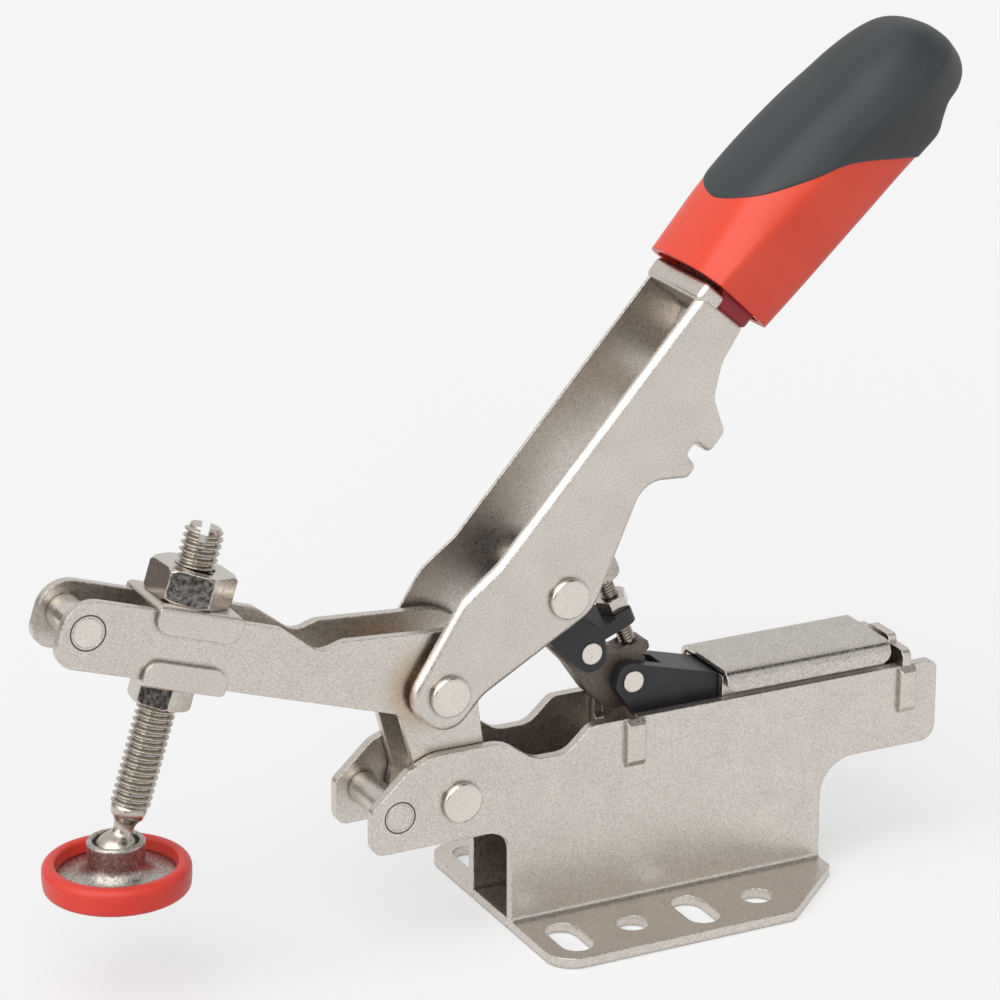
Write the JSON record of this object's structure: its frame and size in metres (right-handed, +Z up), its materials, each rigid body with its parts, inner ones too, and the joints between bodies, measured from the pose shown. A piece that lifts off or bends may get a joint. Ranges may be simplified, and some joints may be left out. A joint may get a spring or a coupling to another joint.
{
  "type": "toggle clamp",
  "caption": "Horizontal toggle clamp, flanged base, screw-down swivel foot on a twin-plate arm, channel handle with a moulded grip and a sprung self-adjusting slide.",
  "frame": {"origin": "centre of the pattern of fixing holes, on the underside of the base", "axes": "+X back along the base, from the clamping arm towards the slide; +Y across to the far side; +Z up, square to the base"},
  "size_m": [0.2002, 0.063, 0.1792],
  "materials": {
    "plated_steel": "satin nickel plate over steel sheet, faintly grained",
    "bright_steel": "bright plated turned steel",
    "black_steel": "black oxide, satin",
    "rocker_steel": "bare grey-brown steel, dull",
    "red_plastic": "moulded hard plastic, satin",
    "grey_rubber": "soft moulded cover, dark grey, matt",
    "red_rubber": "moulded pad, satin",
    "spring_steel": "drawn wire"
  },
  "bodies": {
    "base": {"base_near_side": "plated_steel", "base_far_side": "plated_steel", "base_floor": "plated_steel", "nose_spacer": "bright_steel", "front_cross_plate": "plated_steel", "rear_cross_plate": "plated_steel", "slide_cover": "plated_steel", "slide_channel": "plated_steel", "slide_spring": "spring_steel", "arm_pivot_rivet": "bright_steel"},
    "arm": {"arm_near_plate": "plated_steel", "arm_far_plate": "plated_steel", "arm_pivot_bush": "bright_steel", "arm_handle_bush": "bright_steel", "tip_spacer": "bright_steel", "upper_saddle": "plated_steel", "lower_saddle": "plated_steel", "upper_nut": "bright_steel", "lower_nut": "bright_steel", "spindle": "bright_steel"},
    "foot": {"foot_socket": "plated_steel", "foot_pad": "red_rubber"},
    "handle": {"handle_channel": "plated_steel", "grip_body": "red_plastic", "grip_cover": "grey_rubber", "handle_arm_rivet": "bright_steel", "handle_link_rivet": "bright_steel", "handle_washers": "bright_steel", "link_spacers": "bright_steel"},
    "link": {"link_fork": "black_steel", "link_rocker": "rocker_steel", "rocker_rivet": "bright_steel", "adjusting_screw": "bright_steel", "adjusting_nut": "bright_steel"},
    "slide": {"slide_bar": "black_steel", "slide_rivet": "bright_steel"}
  },
  "joints": [
    {"name": "arm_hinge", "type": "hinge", "parent": "base", "child": "arm", "pos_m": [-0.0408, 0, 0.0315], "axis": [0, 1, 0], "range_deg": [-17.45, 0]},
    {"name": "handle_hinge", "type": "hinge", "parent": "arm", "child": "handle", "pos_m": [-0.0439, 0, 0.0554], "axis": [0, 1, 0], "range_deg": [0, 56.72]},
    {"name": "link_hinge", "type": "hinge", "parent": "handle", "child": "link", "pos_m": [-0.0173, 0, 0.0718], "axis": [0, 1, 0], "range_deg": [-84.65, 0]},
    {"name": "slide_hinge", "type": "hinge", "parent": "link", "child": "slide", "pos_m": [0.00085, 0, 0.0485], "axis": [0, 1, 0], "range_deg": [0, 45.38]},
    {"name": "foot_swivel", "type": "hinge", "parent": "arm", "child": "foot", "pos_m": [-0.11137, 0, 0.03009], "axis": [0, 1, 0], "range_deg": [-2.3, 37.7]}
  ],
  "couplings": [
    {"joint": "handle_hinge", "follows": "arm_hinge", "ratio": -3.25},
    {"joint": "link_hinge", "follows": "arm_hinge", "ratio": 4.85},
    {"joint": "slide_hinge", "follows": "arm_hinge", "ratio": -2.6}
  ]
}
